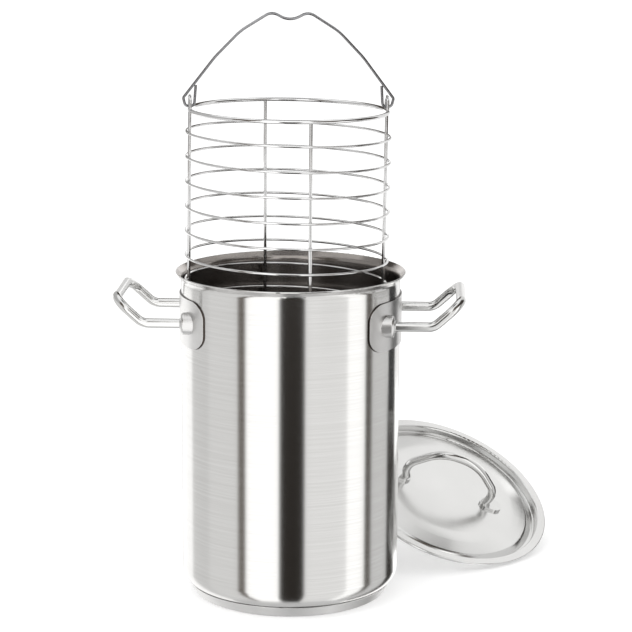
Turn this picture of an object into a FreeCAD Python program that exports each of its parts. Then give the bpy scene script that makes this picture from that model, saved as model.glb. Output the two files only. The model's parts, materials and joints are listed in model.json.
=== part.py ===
import FreeCAD, Part
import math
import os

os.makedirs("parts", exist_ok=True)

# Tall narrow cooking pot with a wire lift-out basket, its hinged bail and a lid.
# Millimetres, +Z up. The origin is the middle of the base's underside, and the side handles lie along X.

# Pot body, drawn from one sheet
pot_diameter = 160.0
pot_height = 241.0
pot_wall = 1.0
pot_corner_radius = 13.0
lip_overhang = 4.0
lip_flare = 45.0
lip_bend_radius = 4.0

# Base sandwich: a heat-spreading core closed in by a pressed cap
base_flat_inset = 9.5
base_cap_wall = 0.6
base_cap_height = 8.2
base_cap_corner_radius = 2.0
base_core_thickness = 5.6
base_core_margin = 2.0

# Side handles: a bent round rod welded to a wrapped plate with two raised bosses
plate_height = 35.0
plate_half_span = 43.0
plate_thickness = 1.2
plate_corner_radius = 12.0
plate_below_rim = 15.5
boss_diameter = 16.0
boss_rise = 1.0
boss_edge_radius = 2.2
leg_spacing = 75.0
handle_rod = 7.0
handle_reach = 47.5
handle_leg_length = 28.0
handle_slope = 42.0
handle_bend_radius = 11.0
handle_corner_radius = 12.0

# Basket wires
upright_wire = 2.5
hoop_wire = 1.8
ring_wire = 2.9
basket_clearance = 4.6
basket_height = 210.0
hoop_count = 11
hoop_pitch = 18.0
first_hoop_drop = 17.0
hoop_slope = 1.1
cross_wire_skew = 7.2
cross_wire_lean = 1.1
basket_corner_radius = 6.0
bottom_ring_diameters = (50.0, 100.0)

# Bail and the two eyes it swings in
bail_wire = 2.0
eye_wire = 2.2
eye_width = 9.5
eye_height = 10.0
hook_inside = 3.2
hook_tail = 15.0
hook_splay = 1.0
bail_shoulder_out = 4.7
bail_shoulder_rise = 6.0
bail_lower_bend_inset = 18.0
bail_lower_bend_rise = 35.5
bail_upper_bend_inset = 36.0
bail_upper_bend_rise = 54.0
bail_rise = 67.7
bail_grip_half = 13.3
bail_grip_dip = 6.9
hook_bend_radius = 2.9
bail_shoulder_radius = 2.2
bail_lower_bend_radius = 60.0
bail_upper_bend_radius = 40.0
bail_grip_radius = 8.5
bail_dip_radius = 14.0

# Lid, pressed from one sheet, with a bow handle welded on
lid_sheet = 0.8
lid_overlap = 0.5
lid_plug_clearance = 0.6
lid_gutter_depth = 7.0
lid_gutter_floor = 3.5
lid_gutter_slope_run = 4.5
lid_gutter_slope_rise = 2.8
lid_gutter_bend_radius = 1.4
lid_flange_bend_radius = 1.2
lid_panel_edge_radius = 4.0
lid_crown_margin = 6.0
lid_crown_rise = 3.0
lid_crown_radius = 60.0
bow_rod = 6.5
bow_neck_spacing = 66.0
bow_bulge = 5.0
bow_bulge_height = 12.0
bow_bulge_radius = 13.0
bow_height = 33.5
bow_top_half = 15.0
bow_shoulder_radius = 34.0
bow_foot_outset = 5.0
bow_foot_length = 18.0
bow_foot_width = 13.0
bow_foot_thickness = 2.0

# How the loose pieces stand: the basket is lifted part of the way out, the lid leans beside the pot
basket_lift = 148.0
basket_turn = 9.5
basket_tilt = 0.7
basket_lean_bearing = 180.0
lid_lean = 29.0
lid_facing = -46.5
lid_bearing = 45.0
lid_spin = 47.0

# Fits
weld_gap = 0.05
resting_gap = 0.3
hinge_gap = 0.35

# How closely an edge must match a direction or a plane to be picked
match = 0.01

vector = FreeCAD.Vector
up = vector(0, 0, 1)

pot_radius = pot_diameter / 2
pot_bore = pot_radius - pot_wall
pot_underside = base_cap_wall + base_core_thickness
plate_centre_height = pot_height - plate_below_rim - plate_height / 2
hoop_reach = pot_bore - basket_clearance
upright_radius = hoop_reach - hoop_wire - weld_gap - upright_wire / 2
ring_height = basket_height
hinge_height = ring_height + ring_wire / 2 + hinge_gap + bail_wire / 2
lid_radius = pot_radius + lip_overhang + lid_overlap


# Paths and sections

def corner_arc(before, corner, after, radius):
    """The tangent arc that rounds one corner of a path, with its two ends."""
    arriving = (corner - before).normalize()
    leaving = (after - corner).normalize()
    turn = arriving.getAngle(leaving)
    reach = radius * math.tan(turn / 2)
    start = corner - arriving * reach
    end = corner + leaving * reach
    inward = (leaving - arriving).normalize()
    centre = corner + inward * (radius / math.cos(turn / 2))
    middle = centre - inward * radius
    return start, end, Part.Arc(start, middle, end).toShape()


def rounded_path(points, radii):
    """Straight runs through the points, with each inner corner rounded by its radius."""
    edges = []
    last = points[0]
    for index, radius in enumerate(radii):
        start, end, arc = corner_arc(points[index], points[index + 1], points[index + 2], radius)
        edges.append(Part.LineSegment(last, start).toShape())
        edges.append(arc)
        last = end
    edges.append(Part.LineSegment(last, points[-1]).toShape())
    return edges


def rod(points, radii, diameter):
    """A round wire or rod bent along a path."""
    path = Part.Wire(rounded_path(points, radii))
    section = Part.Wire([Part.makeCircle(diameter / 2, points[0], points[1] - points[0])])
    return path.makePipeShell([section], True, False)


def offset_corners(points, distance):
    """The corners of a path in the XZ plane moved sideways by a distance, to the left of its travel."""
    moved = []
    for index, point in enumerate(points):
        arriving = points[max(index, 1)] - points[max(index, 1) - 1]
        leaving = points[min(index + 1, len(points) - 1)] - points[min(index, len(points) - 2)]
        first = vector(-arriving.z, 0, arriving.x).normalize()
        second = vector(-leaving.z, 0, leaving.x).normalize()
        mitre = (first + second) / (1 + first.dot(second))
        moved.append(point + mitre * distance)
    return moved


def sheet_section(points, radii, thickness):
    """The section of a bent sheet from its middle line: cut square at the start, rounded at the free edge."""
    half = thickness / 2
    left_radii = []
    right_radii = []
    for index, radius in enumerate(radii):
        arriving = points[index + 1] - points[index]
        leaving = points[index + 2] - points[index + 1]
        side = 1 if arriving.z * leaving.x - arriving.x * leaving.z < 0 else -1
        left_radii.append(radius - side * half)
        right_radii.append(radius + side * half)
    left = offset_corners(points, half)
    right = offset_corners(points, -half)
    tip = points[-1] + (points[-1] - points[-2]).normalize() * half
    edges = rounded_path(left, left_radii)
    edges.append(Part.Arc(left[-1], tip, right[-1]).toShape())
    edges += rounded_path(right, right_radii)
    edges.append(Part.LineSegment(right[0], left[0]).toShape())
    return Part.Face(Part.Wire(Part.__sortEdges__(edges)))


def turned(section):
    """A section in the XZ plane turned a full circle about the upright axis."""
    return section.revolve(vector(0, 0, 0), up, 360)


def mirrored(shape):
    return shape.mirror(vector(0, 0, 0), vector(1, 0, 0))


def ring(diameter, wire, height, slope=0.0):
    """A round hoop of wire, its low side towards +X when it slopes."""
    tilt = math.radians(slope)
    return Part.makeTorus(diameter / 2, wire / 2, vector(0, 0, height), vector(math.sin(tilt), 0, math.cos(tilt)))


# Pot

def pot_body():
    middle = pot_radius - pot_wall / 2
    floor = pot_underside + pot_wall / 2
    lip = vector(pot_radius + lip_overhang - pot_wall / 2, 0, pot_height - pot_wall / 2)
    flare_start = lip.z - (lip.x - middle) / math.tan(math.radians(lip_flare))
    line = [vector(0, 0, floor), vector(middle, 0, floor), vector(middle, 0, flare_start), lip]
    return turned(sheet_section(line, [pot_corner_radius - pot_wall / 2, lip_bend_radius], pot_wall))


def base_cap():
    half = base_cap_wall / 2
    top_radius = body_corner_radius_at(base_cap_height) + weld_gap + half
    line = [vector(0, 0, half), vector(pot_radius - base_flat_inset, 0, half),
            vector(top_radius, 0, base_cap_height - half)]
    return turned(sheet_section(line, [base_cap_corner_radius], base_cap_wall))


def body_corner_radius_at(height):
    """How far the body's rounded bottom corner reaches from the axis at a height."""
    below_centre = pot_underside + pot_corner_radius - height
    across = math.sqrt(max(pot_corner_radius ** 2 - below_centre ** 2, 0))
    return pot_radius - pot_corner_radius + across


def base_core():
    radius = pot_radius - pot_corner_radius - base_core_margin
    return Part.makeCylinder(radius, base_core_thickness, vector(0, 0, base_cap_wall), up)


# Side handles, drawn for the +X side and mirrored for the other

plate_seat = pot_radius + weld_gap
plate_face = plate_seat + plate_thickness
boss_inner_edge = leg_spacing / 2 - boss_diameter / 2
boss_front = math.sqrt(plate_face ** 2 - boss_inner_edge ** 2) + boss_rise


def plate_outline():
    """The plate's rounded outline as a block along X."""
    half_width = plate_face * math.sin(math.radians(plate_half_span))
    block = Part.makeBox(pot_diameter, 2 * half_width, plate_height,
                         vector(0, -half_width, plate_centre_height - plate_height / 2))
    corners = [edge for edge in block.Edges if abs(edge.tangentAt(edge.FirstParameter).x) > 1 - match]
    return block.makeFillet(plate_corner_radius, corners)


def boss(radius, front):
    """A short cylinder along X at each leg, rounded at its front edge."""
    bosses = []
    for side in (-1, 1):
        centre = vector(pot_radius / 2, side * leg_spacing / 2, plate_centre_height)
        cylinder = Part.makeCylinder(radius, front - centre.x, centre, vector(1, 0, 0))
        front_edge = [edge for edge in cylinder.Edges if edge.BoundBox.XMin > front - match]
        bosses.append(cylinder.makeFillet(boss_edge_radius, front_edge))
    return bosses


def handle_bracket():
    half = plate_height / 2
    inside = Part.makeCylinder(plate_seat, plate_height * 2, vector(0, 0, plate_centre_height - plate_height), up)
    wrap = Part.makeCylinder(plate_face, plate_height, vector(0, 0, plate_centre_height - half), up)
    plate = wrap.common(plate_outline())
    plate = plate.fuse(boss(boss_diameter / 2, boss_front))
    plate = plate.cut([inside] + boss(boss_diameter / 2 - plate_thickness, boss_front - plate_thickness))
    return plate.removeSplitter()


def side_handle():
    half = leg_spacing / 2
    outer = pot_radius + handle_reach - handle_rod / 2
    bend = boss_front + handle_leg_length
    top = plate_centre_height + (outer - bend) * math.tan(math.radians(handle_slope))
    path = [vector(boss_front, -half, plate_centre_height), vector(bend, -half, plate_centre_height),
            vector(outer, -half, top), vector(outer, half, top),
            vector(bend, half, plate_centre_height), vector(boss_front, half, plate_centre_height)]
    radii = [handle_bend_radius, handle_corner_radius, handle_corner_radius, handle_bend_radius]
    return rod(path, radii, handle_rod)


# Basket, drawn with its underside at height zero

def place_basket(shape):
    """Lifts the basket out to its height, turned, a little tilted and leaning on the pot's bore."""
    held_half = (pot_height - basket_lift) / 2
    play = pot_bore - hoop_reach - resting_gap - held_half * math.sin(math.radians(basket_tilt))
    bearing = math.radians(basket_lean_bearing)
    placed = shape.copy()
    placed.rotate(vector(0, 0, held_half), vector(0, 1, 0), basket_tilt)
    placed.rotate(vector(0, 0, 0), up, basket_turn)
    placed.translate(vector(play * math.cos(bearing), play * math.sin(bearing), basket_lift))
    return placed


def u_wire(bottom_height, lean):
    """An upright wire that runs down one side, under the basket and up the other, its legs leaning sideways."""
    top = ring_height - ring_wire / 2 - weld_gap
    low = bottom_height + upright_wire / 2
    path = [vector(-upright_radius, lean, top), vector(-upright_radius, -lean, low),
            vector(upright_radius, -lean, low), vector(upright_radius, lean, top)]
    return rod(path, [basket_corner_radius, basket_corner_radius], upright_wire)


def cross_u_wire():
    wire = u_wire(upright_wire + hoop_wire + 2 * weld_gap, cross_wire_lean)
    wire.rotate(vector(0, 0, 0), up, 90 + cross_wire_skew)
    return wire


def hoop(index):
    reach = hoop_reach - hoop_wire / 2
    height = ring_height - first_hoop_drop - index * hoop_pitch
    return ring(2 * reach / math.cos(math.radians(hoop_slope)), hoop_wire, height, hoop_slope)


def bottom_ring(diameter):
    return ring(diameter, hoop_wire, upright_wire + weld_gap + hoop_wire / 2)


def bail_eye():
    """A small wire arch that stands on the top ring, square to X."""
    half = eye_width / 2
    foot = ring_height + ring_wire / 2 + weld_gap
    top = ring_height + eye_height
    path = [vector(upright_radius, -half, foot), vector(upright_radius, -half, top),
            vector(upright_radius, half, top), vector(upright_radius, half, foot)]
    corner = half - match
    return rod(path, [corner, corner], eye_wire)


def bail():
    """The swinging handle: a hook through each eye and a dipped grip between the shoulders."""
    half_path = [
        (upright_radius - hook_inside - hook_splay, hook_tail),
        (upright_radius - hook_inside, 0),
        (upright_radius + hook_inside, 0),
        (upright_radius + bail_shoulder_out, bail_shoulder_rise),
        (upright_radius - bail_lower_bend_inset, bail_lower_bend_rise),
        (upright_radius - bail_upper_bend_inset, bail_upper_bend_rise),
        (bail_grip_half, bail_rise),
        (0, bail_rise - bail_grip_dip),
    ]
    half_radii = [hook_bend_radius, hook_bend_radius, bail_shoulder_radius, bail_lower_bend_radius,
                  bail_upper_bend_radius, bail_grip_radius]
    right = [vector(x, 0, hinge_height + rise) for x, rise in half_path]
    left = [vector(-point.x, 0, point.z) for point in reversed(right[:-1])]
    radii = half_radii + [bail_dip_radius] + half_radii[::-1]
    return rod(right + left, radii, bail_wire)


# Lid, drawn with its flange's underside at height zero and its outer face up

def lid_shell():
    half = lid_sheet / 2
    plug = pot_bore - lid_plug_clearance - half
    gutter = half - lid_gutter_depth
    gutter_inner = plug - lid_gutter_floor
    panel = gutter_inner - lid_gutter_slope_run
    panel_edge = gutter + lid_gutter_slope_rise
    crown = panel_edge + lid_crown_rise
    flat = (bow_neck_spacing + bow_foot_length) / 2 + bow_foot_outset + lid_crown_margin
    line = [vector(0, 0, crown), vector(flat, 0, crown), vector(panel, 0, panel_edge),
            vector(gutter_inner, 0, gutter), vector(plug, 0, gutter), vector(plug, 0, half),
            vector(lid_radius - half, 0, half)]
    radii = [lid_crown_radius, lid_panel_edge_radius, lid_gutter_bend_radius, lid_gutter_bend_radius,
             lid_flange_bend_radius]
    return turned(sheet_section(line, radii, lid_sheet))


def lid_crown_top():
    return lid_sheet - lid_gutter_depth + lid_gutter_slope_rise + lid_crown_rise


def lid_handle():
    """A round bow, narrow at its necks, with each end flattened to a pad that turns outwards."""
    neck = bow_neck_spacing / 2
    seat = lid_crown_top() + weld_gap
    sole = seat + bow_foot_thickness / 2
    path = [vector(-neck, 0, sole), vector(-neck - bow_bulge, 0, seat + bow_bulge_height),
            vector(-bow_top_half, 0, seat + bow_height), vector(bow_top_half, 0, seat + bow_height),
            vector(neck + bow_bulge, 0, seat + bow_bulge_height), vector(neck, 0, sole)]
    bow = rod(path, [bow_bulge_radius, bow_shoulder_radius, bow_shoulder_radius, bow_bulge_radius], bow_rod)
    for side in (-1, 1):
        bow = bow.fuse(foot_pad(side * (neck + bow_foot_outset), seat))
    below = Part.makeBox(4 * neck, 2 * bow_foot_width, bow_height, vector(-2 * neck, -bow_foot_width, seat - bow_height))
    return bow.cut(below).removeSplitter()


def foot_pad(centre, seat):
    """A flat pad with round ends under one foot of the bow."""
    radius = bow_foot_width / 2
    straight = bow_foot_length - bow_foot_width
    left = Part.makeCylinder(radius, bow_foot_thickness, vector(centre - straight / 2, 0, seat), up)
    right = Part.makeCylinder(radius, bow_foot_thickness, vector(centre + straight / 2, 0, seat), up)
    middle = Part.makeBox(straight, bow_foot_width, bow_foot_thickness,
                          vector(centre - straight / 2, -radius, seat))
    return middle.fuse([left, right]).removeSplitter()


def lean_lid(shape, centre):
    """Stands the lid on its edge side, tips it back and turns its face to its bearing."""
    placed = shape.copy()
    placed.rotate(vector(0, 0, 0), up, lid_spin)
    placed.rotate(vector(0, 0, 0), vector(0, 1, 0), lid_lean)
    placed.rotate(vector(0, 0, 0), up, lid_facing)
    placed.translate(centre)
    return placed


def lid_rim_points(distance):
    """Points round the leaning flange's edge, for a lid whose middle is this far from the pot's axis."""
    centre = lid_centre_at(distance)
    points = []
    for degree in range(0, 360, 5):
        angle = math.radians(degree)
        rim = vector(lid_radius * math.cos(angle), lid_radius * math.sin(angle), 0)
        points.append(lean_lid(Part.Vertex(rim), centre).Point)
    return points


def lid_centre_at(distance):
    """The lid's middle at a distance from the pot's axis, with its gutter's round corner on the floor."""
    bearing = math.radians(lid_bearing)
    lean = math.radians(lid_lean)
    corner = lid_gutter_bend_radius + lid_sheet / 2
    plug_edge = pot_bore - lid_plug_clearance - corner
    on_gutter = plug_edge * math.sin(lean) + (lid_gutter_depth - corner) * math.cos(lean) + corner
    on_flange = lid_radius * math.sin(lean)
    return vector(distance * math.cos(bearing), distance * math.sin(bearing), max(on_gutter, on_flange))


def lid_centre():
    """The lid's middle, moved out along its bearing until its edge just clears the pot's wall."""
    near = pot_radius
    far = pot_radius + 2 * lid_radius
    for halving in range(24):
        distance = (near + far) / 2
        reach = min(math.hypot(point.x, point.y) for point in lid_rim_points(distance))
        if reach < pot_radius + resting_gap:
            near = distance
        else:
            far = distance
    return lid_centre_at(far)


def export(name, shape):
    shape.exportStep("parts/" + name + ".step")


export("pot_body", pot_body())
export("base_cap", base_cap())
export("base_core", base_core())

right_bracket = handle_bracket()
right_handle = side_handle()
export("right_handle_bracket", right_bracket)
export("right_side_handle", right_handle)
export("left_handle_bracket", mirrored(right_bracket))
export("left_side_handle", mirrored(right_handle))

export("basket_top_ring", place_basket(ring(2 * upright_radius, ring_wire, ring_height)))
export("basket_side_wire", place_basket(u_wire(0, 0)))
export("basket_cross_wire", place_basket(cross_u_wire()))
for index in range(hoop_count):
    export("basket_hoop_%02d" % (index + 1), place_basket(hoop(index)))
export("basket_bottom_ring_inner", place_basket(bottom_ring(bottom_ring_diameters[0])))
export("basket_bottom_ring_outer", place_basket(bottom_ring(bottom_ring_diameters[1])))

right_eye = bail_eye()
export("right_bail_eye", place_basket(right_eye))
export("left_bail_eye", place_basket(mirrored(right_eye)))
export("bail", place_basket(bail()))

leaning_centre = lid_centre()
export("lid", lean_lid(lid_shell(), leaning_centre))
export("lid_handle", lean_lid(lid_handle(), leaning_centre))
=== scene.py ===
import json
import math
import bpy
from mathutils import Matrix, Vector


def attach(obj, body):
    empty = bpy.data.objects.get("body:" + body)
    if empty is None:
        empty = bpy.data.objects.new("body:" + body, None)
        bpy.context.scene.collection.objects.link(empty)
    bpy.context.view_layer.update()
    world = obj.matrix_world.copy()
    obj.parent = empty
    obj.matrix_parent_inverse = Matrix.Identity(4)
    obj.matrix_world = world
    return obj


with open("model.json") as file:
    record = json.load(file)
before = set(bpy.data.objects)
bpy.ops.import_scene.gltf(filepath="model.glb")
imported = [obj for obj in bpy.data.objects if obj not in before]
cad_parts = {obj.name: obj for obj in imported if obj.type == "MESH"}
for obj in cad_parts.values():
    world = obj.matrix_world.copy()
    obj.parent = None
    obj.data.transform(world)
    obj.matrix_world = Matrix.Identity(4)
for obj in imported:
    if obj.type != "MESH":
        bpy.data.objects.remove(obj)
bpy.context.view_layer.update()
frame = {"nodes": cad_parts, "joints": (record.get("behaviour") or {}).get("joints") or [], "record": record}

nodes = frame["nodes"]
print("frame loaded:", len(nodes), "pieces")


# Small helpers

def toLinear(hexColour):  # "#rrggbb" as a picture shows it, made linear for a shader
    parts = [int(hexColour[i:i + 2], 16) / 255 for i in (1, 3, 5)]
    return [p / 12.92 if p <= 0.04045 else ((p + 0.055) / 1.055) ** 2.4 for p in parts] + [1.0]


def addNode(tree, kind, settings=None, inputs=None):  # inputs are values, or sockets to link from
    node = tree.nodes.new(kind)
    for name, value in (settings or {}).items():
        setattr(node, name, value)
    for name, value in (inputs or {}).items():
        if isinstance(value, bpy.types.NodeSocket):
            tree.links.new(value, node.inputs[name])
        else:
            node.inputs[name].default_value = value
    return node


def compute(tree, operation, *values, clamp=False):  # a number worked out from values or sockets
    settings = {"operation": operation, "use_clamp": clamp}
    return addNode(tree, "ShaderNodeMath", settings, dict(enumerate(values))).outputs[0]


def computeVector(tree, operation, *values):  # the same for places and directions
    node = addNode(tree, "ShaderNodeVectorMath", {"operation": operation}, dict(enumerate(values)))
    return node.outputs["Value" if operation in ("LENGTH", "DOT_PRODUCT") else "Vector"]


def objectPlace(tree):  # the point of the surface, in the object's own axes
    return addNode(tree, "ShaderNodeTexCoord").outputs["Object"]


def newMaterial(name):
    material = bpy.data.materials.new(name)
    material.use_nodes = True
    material.node_tree.nodes.clear()
    return material, material.node_tree


def dress(names, material):
    for name in names:
        mesh = nodes[name].data
        mesh.materials.clear()
        mesh.materials.append(material)


def startClean():
    bpy.ops.object.select_all(action="DESELECT")


def named(name):  # names what an operator has just made, and puts its turn and place into its mesh
    piece = bpy.context.object
    piece.name = name
    bpy.ops.object.transform_apply(location=True, rotation=True, scale=True)
    return piece


# Camera, at the photograph's angle

cameraView = {
    "picture": 632,  # pixels across
    "focal": 2320,  # pixels
    "sensor": 36.0,  # mm
    "nearest": 0.05,
    "farthest": 200.0,
    "distance": 1.664,
    "height": 0.551,
    "bearing": 3.3,  # degrees that the camera stands round to the right
    "pitchDown": 11.68,  # degrees, as are the two below
    "pan": 0.64,
    "roll": -0.29,
}

cameraData = bpy.data.cameras.new("productCamera")
cameraData.sensor_width = cameraView["sensor"]
cameraData.lens = cameraView["sensor"] * cameraView["focal"] / cameraView["picture"]
cameraData.clip_start = cameraView["nearest"]
cameraData.clip_end = cameraView["farthest"]
camera = bpy.data.objects.new("productCamera", cameraData)
bpy.context.scene.collection.objects.link(camera)
bearing = Matrix.Rotation(math.radians(cameraView["bearing"]), 4, "Z")
aim = (Matrix.Rotation(-math.radians(cameraView["pan"]), 4, "Z")
       @ Matrix.Rotation(math.radians(90 - cameraView["pitchDown"]), 4, "X")
       @ Matrix.Rotation(-math.radians(cameraView["roll"]), 4, "Z"))
stand = Matrix.Translation((0, -cameraView["distance"], cameraView["height"]))
camera.matrix_world = bearing @ stand @ aim
bpy.context.scene.camera = camera
print("camera set")


# Floor, light and the screen that the metal mirrors

studio = {
    "floorRadius": 40.0,
    "floorSegments": 64,
    "floorColour": "#f4f4f4",
    "floorGlow": 0.32,  # lifts the floor to white where it is seen, and lights nothing
    "skyStrength": 0.9,
    "lampPower": 10.0,
    "lampPlace": (-0.9, -1.1, 1.9),
    "lampWidth": 1.4,
}

# The screen that only the metal shows: stacked rings of cards round the pot, closed by a ceiling and a
# table card, with a dark disc over the pot's mouth and a dark card near the wall's right edge.
# A band is its start and end, in degrees round the pot from the camera towards the picture's right, and
# its brightness.

# The two lower rings, which the wall shows; the lid shows the second, so its right side stays pale there
wallBands = [
    (-180, -150, 0.85),
    (-150, -113.6, 1.4),
    (-113.6, -85, 0.84),
    (-85, -49.8, 0.93),
    (-49.8, -42, 0.16),
    (-42, -10.2, 1.6),
    (-10.2, 13.1, 0.03),
    (13.1, 54.6, 1.08),
    (54.6, 75.5, 1.55),
    (75.5, 84.3, 0.1),
    (84.3, 111.8, 0.8),
]
wallEdgeBands = [(111.8, 132, 0.03), (132, 150, 1.8), (150, 180, 0.85)]
lidBands = [(111.8, 150, 1.12), (150, 180, 0.85)]

# The pale back, which the lip's two ends and the cross bars of the handles show
leftLipBands = [(-180, -168, 1.5), (-168, -150, 0.85)]
rightLipBands = [(150, 165, 0.85), (165, 180, 1.5)]

# The higher rings, which the wires and the handles show. The first two stay dark straight above the wall's
# dark band, because the brushing draws each reflection out upwards; the top one is bright there, for the
# highlights on the right handle and its bosses.
wireBands = [
    (-150, -112, 0.2),
    (-112, -60, 0.6),
    (-60, -34, 0.3),
    (-34, -10.2, 1.7),
    (-10.2, 13.1, 0.1),
    (13.1, 28, 1.7),
    (28, 50, 0.25),
    (50, 80, 1.3),
    (80, 108, 0.1),
    (108, 150, 1.0),
]
highBands = [
    (-150, -60, 0.6),
    (-60, -34, 0.15),
    (-34, -10.2, 1.4),
    (-10.2, 13.1, 0.1),
    (13.1, 28, 1.4),
    (28, 60, 0.15),
    (60, 111, 0.06),
    (111, 150, 0.95),
]
topBands = [
    (-180, -150, 0.08),
    (-150, -60, 0.6),
    (-60, -28, 0.15),
    (-28, 24, 1.4),
    (24, 60, 0.15),
    (60, 111, 0.06),
    (111, 150, 0.95),
    (150, 180, 0.1),
]

screen = {
    "radius": 0.32,
    "segments": 128,
    "rings": [  # bottom, top and bands of each
        (-0.5, 0.088, wallBands + wallEdgeBands),
        (0.088, 0.275, wallBands + lidBands),
        (0.275, 0.3, leftLipBands + wireBands + rightLipBands),
        (0.3, 0.37, leftLipBands + highBands + rightLipBands),
        (0.37, 0.62, topBands),
    ],
    "edgeCard": {  # close beside the pot and over the lid, as the wall's dark right edge
        "ends": ((0.113, -0.0075), (0.105, 0.014)),  # to the camera's right of the axis, and behind it
        "bottom": 0.135,
        "top": 0.25,
        "level": 0.05,
    },
    "peak": 1.8,  # the brightest band
    "edge": 1.6,  # degrees over which one band turns into the next
    "tint": (1.0, 0.995, 0.99),
    "darkTint": (1.0, 0.86, 0.74),  # the photo's dark bands are brownish
    "darkBelow": 0.4,
    "ceilingLevel": 1.2,
    "tableLevel": 0.74,
    "discLevel": 0.03,  # the disc over the pot's mouth
    "discRadius": 0.095,
    "discDrop": 0.005,  # below the ceiling
}


def showsWhite(tree):  # 1 for what the camera sees, straight, mirrored or through glass, else 0
    path = addNode(tree, "ShaderNodeLightPath").outputs
    seen = compute(tree, "ADD", path["Is Camera Ray"], path["Is Glossy Ray"])
    return compute(tree, "ADD", seen, path["Is Transmission Ray"], clamp=True)


def makeFloor():
    # Matte coated paper, with no grain that shows
    material, tree = newMaterial("matteFloorPaper")
    paper = addNode(tree, "ShaderNodeBsdfDiffuse", {}, {"Color": toLinear(studio["floorColour"])})
    glow = compute(tree, "MULTIPLY", showsWhite(tree), studio["floorGlow"])
    lit = addNode(tree, "ShaderNodeEmission", {}, {"Strength": glow})
    both = addNode(tree, "ShaderNodeAddShader", {}, {0: paper.outputs[0], 1: lit.outputs[0]})
    addNode(tree, "ShaderNodeOutputMaterial", {}, {"Surface": both.outputs[0]})
    startClean()
    bpy.ops.mesh.primitive_circle_add(vertices=studio["floorSegments"], radius=studio["floorRadius"],
                                      fill_type="NGON")
    floor = named("studioFloor")
    floor.data.materials.append(material)
    floor.visible_glossy = False  # metal shows the table card instead, and the bands run down to the base


def makeSky():
    world = bpy.data.worlds.new("studioRoom")
    bpy.context.scene.world = world
    world.use_nodes = True
    tree = world.node_tree
    tree.nodes.clear()
    plain = (1, 1, 1, 1)
    room = addNode(tree, "ShaderNodeBackground", {}, {"Color": plain, "Strength": studio["skyStrength"]})
    white = addNode(tree, "ShaderNodeBackground", {}, {"Color": plain, "Strength": 1.0})
    mix = addNode(tree, "ShaderNodeMixShader", {},
                  {0: showsWhite(tree), 1: room.outputs[0], 2: white.outputs[0]})
    addNode(tree, "ShaderNodeOutputWorld", {}, {"Surface": mix.outputs[0]})


def showOnlyInMetal(piece):
    piece.visible_camera = False
    piece.visible_diffuse = False
    piece.visible_shadow = False
    piece.visible_transmission = False


def makeScreenRing(name, bottom, top, bands):
    material, tree = newMaterial(name + "Cards")
    axes = addNode(tree, "ShaderNodeSeparateXYZ", {}, {0: objectPlace(tree)}).outputs
    around = compute(tree, "ARCTAN2", axes["X"], compute(tree, "MULTIPLY", axes["Y"], -1.0))
    # The share of a full turn, with 0.5 towards the camera
    turn = compute(tree, "MULTIPLY_ADD", around, 0.5 / math.pi, 0.5 - cameraView["bearing"] / 360)
    ramp = addNode(tree, "ShaderNodeValToRGB", {}, {"Fac": turn})
    stops = []
    for start, end, brightness in bands:
        stops += [(start + screen["edge"] / 2, brightness), (end - screen["edge"] / 2, brightness)]
    elements = ramp.color_ramp.elements
    while len(elements) < len(stops):
        elements.new(0.5)
    for element, (angle, brightness) in zip(elements, stops):
        element.position = 0.5 + angle / 360
        tint = screen["darkTint"] if brightness < screen["darkBelow"] else screen["tint"]
        element.color = [part * brightness / screen["peak"] for part in tint] + [1]
    lit = addNode(tree, "ShaderNodeEmission", {},
                  {"Color": ramp.outputs["Color"], "Strength": screen["peak"]})
    addNode(tree, "ShaderNodeOutputMaterial", {}, {"Surface": lit.outputs[0]})
    startClean()
    bpy.ops.mesh.primitive_cylinder_add(vertices=screen["segments"], radius=screen["radius"],
                                        depth=top - bottom, end_fill_type="NOTHING",
                                        location=(0, 0, (top + bottom) / 2))
    ring = named(name)
    ring.data.materials.append(material)
    showOnlyInMetal(ring)


def lightCard(name, level):  # the piece that was just made becomes an evenly lit card
    material, tree = newMaterial(name + "Card")
    lit = addNode(tree, "ShaderNodeEmission", {}, {"Strength": level})
    addNode(tree, "ShaderNodeOutputMaterial", {}, {"Surface": lit.outputs[0]})
    card = named(name)
    card.data.materials.append(material)
    showOnlyInMetal(card)


def makeDisc(name, radius, height, level):
    startClean()
    bpy.ops.mesh.primitive_circle_add(vertices=screen["segments"], radius=radius, fill_type="NGON",
                                      location=(0, 0, height))
    lightCard(name, level)


def makeEdgeCard():
    card = screen["edgeCard"]
    start, end = [bearing @ Vector((*place, 0)) for place in card["ends"]]
    across = end - start
    middle = (start + end) / 2 + Vector((0, 0, (card["bottom"] + card["top"]) / 2))
    startClean()
    bpy.ops.mesh.primitive_plane_add(size=1, location=middle,
                                     rotation=(math.pi / 2, 0, math.atan2(across.y, across.x)))
    bpy.context.object.scale = (across.length, card["top"] - card["bottom"], 1)
    lightCard("screenEdgeCard", card["level"])


def makeScreen():
    for index, (bottom, top, bands) in enumerate(screen["rings"]):
        makeScreenRing("screenRing" + str(index + 1), bottom, top, bands)
    top = screen["rings"][-1][1]
    bottom = screen["rings"][0][0]
    makeDisc("screenCeiling", screen["radius"], top, screen["ceilingLevel"])
    makeDisc("screenMouthDisc", screen["discRadius"], top - screen["discDrop"], screen["discLevel"])
    makeDisc("screenTable", screen["radius"], bottom, screen["tableLevel"])
    makeEdgeCard()


def makeLamp():
    data = bpy.data.lights.new("overheadSoftbox", "AREA")
    data.energy = studio["lampPower"]
    data.size = studio["lampWidth"]
    lamp = bpy.data.objects.new("overheadSoftbox", data)
    bpy.context.scene.collection.objects.link(lamp)
    lamp.location = studio["lampPlace"]
    lamp.rotation_euler = (-Vector(studio["lampPlace"])).to_track_quat("-Z", "Y").to_euler()
    lamp.visible_glossy = False


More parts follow.
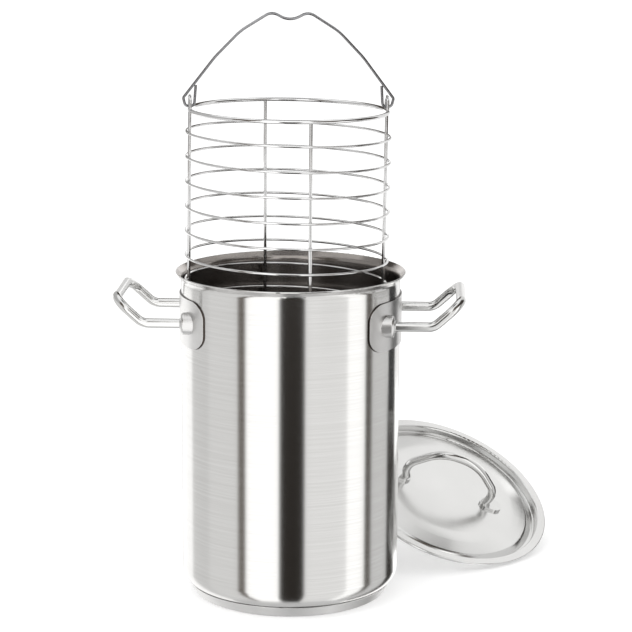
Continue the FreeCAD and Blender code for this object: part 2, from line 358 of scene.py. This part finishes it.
makeFloor()
makeSky()
makeScreen()
makeLamp()
bpy.context.scene.view_settings.view_transform = "Standard"
print("studio set")


# Finishes: patches, line spacings and line lengths are in mm

grain = {
    "detail": 3.0,
    "relief": 0.0002,  # metres from the lowest mark to the highest, times each look's bump
    "acrossTurn": 0.25,  # share of a turn: highlights are drawn out across the brushing
}

metalLooks = {
    "brushedSteel": {
        "light": "#dfdfde",
        "dark": "#cbcac8",
        "inside": "#9c9793",  # painted shade: the bore and the lip's inner side are coloured greyer, standing for the shade inside the pot
        "roughness": 0.2,
        "streak": 0.03,
        "lineSpacing": 0.8,  # real brushing is near 0.05 mm, drawn coarser so that it shows
        "lineLength": 80.0,
        "bump": 0.08,
        "anisotropy": 0.9,
    },
    "pressedCap": {
        "light": "#dededd",
        "dark": "#d2d1d0",
        "roughness": 0.4,
        "streak": 0.02,
        "patch": 9.0,
        "bump": 0.03,
    },
    "spunSteel": {
        "light": "#dfdfde",
        "dark": "#d4d4d3",
        "roughness": 0.18,
        "streak": 0.03,
        "lineSpacing": 0.7,  # coarser than real brushing, as on the wall
        "lineLength": 40.0,
        "bump": 0.08,
        "anisotropy": 0.6,
        "clouds": 30.0,  # slow changes of tone, so many to a metre
        "cloudDetail": 4.0,
    },
    "satinPlate": {
        "light": "#dcdcdb",
        "dark": "#d0cfce",
        "edge": "#453f3b",  # painted shade: the plate's cut edge is coloured dark, as the shade line that outlines the plate on the wall
        "faceRadius": 0.0811,  # metres from the pot's axis; the edge is nearer
        "roughness": 0.3,
        "streak": 0.02,
        "patch": 7.0,
        "bump": 0.05,
    },
    "polishedSteel": {
        "light": "#dcdcdb",
        "dark": "#cfcfce",
        "roughness": 0.16,
        "streak": 0.02,
        "patch": 12.0,
        "bump": 0.03,
    },
    "drawnWire": {
        "light": "#e6e6e6",
        "dark": "#d4d4d4",
        "roughness": 0.09,
        "streak": 0.02,
        "patch": 5.0,
        "bump": 0.04,
    },
    "bailWire": {
        "light": "#a0a0a2",
        "dark": "#868688",
        "roughness": 0.2,
        "streak": 0.02,
        "patch": 5.0,
        "bump": 0.04,
    },
    "rolledAluminium": {
        "light": "#cfd0d2",
        "dark": "#bdbec0",
        "roughness": 0.45,
        "streak": 0.02,
        "patch": 3.0,
        "bump": 0.2,
    },
}

lidStand = {
    "middle": (0.11652, 0.11652, 0.04348),  # middle of the flange's underside
    "lean": 29.0,  # degrees, as is the one below
    "facing": -46.5,
}


def blend(tree, factor, first, second):  # two colours mixed, each one a socket or a "#rrggbb"
    mix = addNode(tree, "ShaderNodeMix", {"data_type": "RGBA"}, {"Factor": factor})
    for slot, colour in ((6, first), (7, second)):
        if isinstance(colour, str):
            mix.inputs[slot].default_value = toLinear(colour)
        else:
            tree.links.new(colour, mix.inputs[slot])
    return mix.outputs[2]


def flattened(tree, place):  # the part of a place that is level
    return computeVector(tree, "MULTIPLY", place, (1, 1, 0))


def noise(tree, place, scale, detail):
    node = addNode(tree, "ShaderNodeTexNoise", {}, {"Vector": place, "Scale": scale, "Detail": detail})
    return node.outputs[0]


def finishMetal(tree, look, marks, colour, extra):  # marks, from 0 to 1, swing the roughness and stand up
    rough = addNode(tree, "ShaderNodeMapRange", {},
                    {"Value": marks, "To Min": look["roughness"] - look["streak"],
                     "To Max": look["roughness"] + look["streak"]})
    relief = addNode(tree, "ShaderNodeBump", {},
                     {"Strength": look["bump"], "Distance": grain["relief"], "Height": marks})
    metal = addNode(tree, "ShaderNodeBsdfPrincipled", {},
                    {"Base Color": colour, "Metallic": 1.0, "Roughness": rough.outputs[0],
                     "Normal": relief.outputs[0], **extra})
    addNode(tree, "ShaderNodeOutputMaterial", {}, {"Surface": metal.outputs[0]})


def brushedWall():
    # Satin stainless sheet, brushed round and round: level lines draw each reflection out up and down
    look = metalLooks["brushedSteel"]
    material, tree = newMaterial("brushedStainlessWall")
    place = objectPlace(tree)
    along = 1000 / look["lineLength"]
    fine = addNode(tree, "ShaderNodeMapping", {},
                   {"Vector": place, "Scale": (along, along, 1000 / look["lineSpacing"])})
    lines = noise(tree, fine.outputs[0], 1.0, grain["detail"])
    outside = blend(tree, lines, look["dark"], look["light"])
    # painted shade: where the surface faces the pot's axis, the wall takes the darker inside colour in place
    # of the steel's own
    facing = addNode(tree, "ShaderNodeTexCoord").outputs["Normal"]
    outwardness = computeVector(tree, "DOT_PRODUCT", flattened(tree, place), facing)
    inside = compute(tree, "LESS_THAN", outwardness, 0.0)
    finishMetal(tree, look, lines, blend(tree, inside, outside, look["inside"]),
                {"Anisotropic": look["anisotropy"], "Anisotropic Rotation": grain["acrossTurn"]})
    return material


def spunLid():
    # Satin stainless sheet, brushed in rings about the lid's middle: pale, with soft reflections
    look = metalLooks["spunSteel"]
    material, tree = newMaterial("ringBrushedStainlessLid")
    place = objectPlace(tree)
    turn = (0, math.radians(lidStand["lean"]), math.radians(lidStand["facing"]))
    local = addNode(tree, "ShaderNodeMapping", {"vector_type": "TEXTURE"},
                    {"Vector": place, "Location": lidStand["middle"], "Rotation": turn})
    flat = flattened(tree, local.outputs[0])
    rings = compute(tree, "MULTIPLY", computeVector(tree, "LENGTH", flat), 1000 / look["lineSpacing"])
    slow = computeVector(tree, "MULTIPLY", flat, [1000 / look["lineLength"]] * 3)
    sides = addNode(tree, "ShaderNodeSeparateXYZ", {}, {0: slow}).outputs
    track = addNode(tree, "ShaderNodeCombineXYZ", {}, {0: sides[0], 1: sides[1], 2: rings})
    lines = noise(tree, track.outputs[0], 1.0, grain["detail"])
    cloud = noise(tree, place, look["clouds"], look["cloudDetail"])
    axis = Matrix.Rotation(turn[2], 3, "Z") @ Matrix.Rotation(turn[1], 3, "Y") @ Vector((0, 0, 1))
    outward = computeVector(tree, "SUBTRACT", place, lidStand["middle"])
    around = computeVector(tree, "NORMALIZE", computeVector(tree, "CROSS_PRODUCT", axis[:], outward))
    finishMetal(tree, look, lines, blend(tree, cloud, look["dark"], look["light"]),
                {"Anisotropic": look["anisotropy"], "Anisotropic Rotation": grain["acrossTurn"],
                 "Tangent": around})
    return material


def smoothMetal(name, look):
    material, tree = newMaterial(name)
    patch = noise(tree, objectPlace(tree), 1000 / look["patch"], grain["detail"])
    finishMetal(tree, look, patch, blend(tree, patch, look["dark"], look["light"]), {})
    return material


def platedBracket():
    # Satin stainless plate: soft reflections on its face, and its cut edge coloured dark as painted shade,
    # its outline on the wall
    look = metalLooks["satinPlate"]
    material, tree = newMaterial("satinStainlessPlate")
    place = objectPlace(tree)
    patch = noise(tree, place, 1000 / look["patch"], grain["detail"])
    # painted shade: nearer the axis than its face, the plate takes the dark edge colour
    distance = computeVector(tree, "LENGTH", flattened(tree, place))
    face = compute(tree, "GREATER_THAN", distance, look["faceRadius"])
    steel = blend(tree, patch, look["dark"], look["light"])
    finishMetal(tree, look, patch, blend(tree, face, look["edge"], steel), {})
    return material


wallSteel = brushedWall()
# Stainless rod, tumble polished: clear but slightly soft reflections
rodSteel = smoothMetal("polishedStainlessRod", metalLooks["polishedSteel"])
# Stainless wire, drawn through a die and electropolished: bright, with faint patches
wireSteel = smoothMetal("electropolishedStainlessWire", metalLooks["drawnWire"])
# Rolled aluminium disc, dull and faintly grained
coreAluminium = smoothMetal("rolledAluminiumDisc", metalLooks["rolledAluminium"])

slotFinish = {"pot_steel": wallSteel, "polished_steel": rodSteel, "wire_steel": wireSteel,
              "core_aluminium": coreAluminium}
for entry in frame["record"]["subparts"]:
    dress([entry["node"]], slotFinish[entry["material_slot"]])
dress(["lid"], spunLid())
dress(["right_handle_bracket", "left_handle_bracket"], platedBracket())
# Stainless wire for the bail, coloured a darker grey than the electropolished basket wire
dress(["bail"], smoothMetal("drawnStainlessBailWire", metalLooks["bailWire"]))
# Stainless cap pressed over the base and left matt from the press, so it shows hardly any of the bands
dress(["base_cap"], smoothMetal("mattPressedCap", metalLooks["pressedCap"]))
print("finishes set")


# Spot welds on the basket and weld rings at the handles

basketWelds = {  # heights are above the basket's bottom, along its own axis
    "upright": 0.0713,  # radius of the circle that the uprights stand on
    "wireRadius": 0.00125,
    "hoopCount": 11,
    "ringHeight": 0.210,
    "firstDrop": 0.017,  # from the top ring to the first hoop
    "pitch": 0.018,  # from hoop to hoop
    "slope": 1.1,  # degrees that the hoops slope
    "crossTurn": 97.2,  # degrees from the side wire to the cross wire
    "crossLean": 0.0011,  # how far the cross wire's legs stand to the side at their two ends
    "crossEnds": (0.00565, 0.2085),  # heights of those ends
    "ringRadius": 0.00145,
    "eyeHalf": 0.00475,  # half the gap between an eye's feet
    "hingeHeight": 0.2128,
    "size": 0.0009,  # radius of a hoop's nugget, before it is stretched
    "stretch": (0.7, 1.4, 0.9),  # outwards, round the basket and up, as are the two below
    "footSize": 0.0011,
    "footStretch": (1.1, 1.1, 0.6),
    "subdivisions": 3,
}

handleWelds = {
    "rod": 0.0035,  # radius
    "bead": 0.0008,  # radius
    "beadPart": 3,  # the bead's middle lies outside the rod by its radius over this
    "faceX": 0.076705,  # where the rods meet the bosses
    "legY": 0.0375,
    "height": 0.208,
    "segments": (48, 12),  # round the rod and round the bead
}


def basketPlace():  # the basket's own axes, read from the hinge that its bail turns on
    hinge = frame["joints"][0]
    across = Vector(hinge["axis"]).normalized()
    depth = Vector((0, 0, 1)).cross(across).normalized()
    upward = across.cross(depth)
    foot = Vector(hinge["pos_m"]) - upward * basketWelds["hingeHeight"]
    place = Matrix((across, depth, upward)).transposed().to_4x4()
    place.translation = foot
    return place


def joinCopies(name, source, places):  # one copy of a mesh at each place, joined as one piece
    copies = []
    for index, place in enumerate(places):
        mesh = source.data.copy()
        mesh.transform(place)
        copy = bpy.data.objects.new(name + str(index), mesh)
        bpy.context.scene.collection.objects.link(copy)
        copies.append(copy)
    bpy.data.objects.remove(source)
    startClean()
    for copy in copies:
        copy.select_set(True)
    bpy.context.view_layer.objects.active = copies[0]
    bpy.ops.object.join()
    piece = bpy.context.object
    piece.name = name
    bpy.ops.object.shade_smooth()
    return piece


def weldNugget(size, stretch):
    startClean()
    bpy.ops.mesh.primitive_ico_sphere_add(subdivisions=basketWelds["subdivisions"], radius=size)
    bpy.ops.object.mode_set(mode="EDIT")
    bpy.ops.mesh.select_all(action="SELECT")
    bpy.ops.transform.resize(value=stretch)
    bpy.ops.object.mode_set(mode="OBJECT")
    return named("weldNugget")


def hoopWeldPlaces():  # where each hoop crosses the four upright legs
    weld = basketWelds
    reach = weld["upright"] + weld["wireRadius"]
    low, top = weld["crossEnds"]
    places = []
    for index in range(weld["hoopCount"]):
        level = weld["ringHeight"] - weld["firstDrop"] - index * weld["pitch"]
        sideways = weld["crossLean"] * (2 * (level - low) / (top - low) - 1)
        legs = ((0, 0), (180, 0), (weld["crossTurn"], sideways), (weld["crossTurn"] + 180, -sideways))
        for angle, offset in legs:
            around = math.radians(angle)
            drop = reach * math.cos(around) * math.tan(math.radians(weld["slope"]))
            leg = Matrix.Translation((reach, offset, level - drop))
            places.append(Matrix.Rotation(around, 4, "Z") @ leg)
    return places


def ringWeldPlaces():  # under the top ring at the upright legs, and on it at the feet of the two eyes
    weld = basketWelds
    places = []
    for side in (0, 180):
        turn = Matrix.Rotation(math.radians(side), 4, "Z")
        cross = Matrix.Rotation(math.radians(side + weld["crossTurn"]), 4, "Z")
        lean = weld["crossLean"] * math.cos(math.radians(side))
        under = weld["ringHeight"] - weld["ringRadius"]
        places.append(turn @ Matrix.Translation((weld["upright"], 0, under)))
        places.append(cross @ Matrix.Translation((weld["upright"], lean, under)))
        for end in (-1, 1):
            foot = (weld["upright"], end * weld["eyeHalf"], weld["ringHeight"] + weld["ringRadius"])
            places.append(turn @ Matrix.Translation(foot))
    return places


def makeBasketWelds(name, nugget, localPlaces):
    base = basketPlace()
    piece = joinCopies(name, nugget, [base @ place for place in localPlaces])
    piece.data.materials.append(wireSteel)
    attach(piece, "pot")


def makeHandleWelds():
    weld = handleWelds
    startClean()
    aroundRod, aroundBead = weld["segments"]
    bpy.ops.mesh.primitive_torus_add(major_segments=aroundRod, minor_segments=aroundBead,
                                     major_radius=weld["rod"] + weld["bead"] / weld["beadPart"],
                                     minor_radius=weld["bead"], rotation=(0, math.pi / 2, 0))
    bead = named("weldBead")
    places = []
    for side in (-1, 1):
        for end in (-1, 1):
            places.append(Matrix.Translation((side * weld["faceX"], end * weld["legY"], weld["height"])))
    piece = joinCopies("handleWelds", bead, places)
    piece.data.materials.append(rodSteel)
    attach(piece, "pot")


hoopNugget = weldNugget(basketWelds["size"], basketWelds["stretch"])
makeBasketWelds("hoopWelds", hoopNugget, hoopWeldPlaces())
ringNugget = weldNugget(basketWelds["footSize"], basketWelds["footStretch"])
makeBasketWelds("ringWelds", ringNugget, ringWeldPlaces())
makeHandleWelds()
print("welds made")
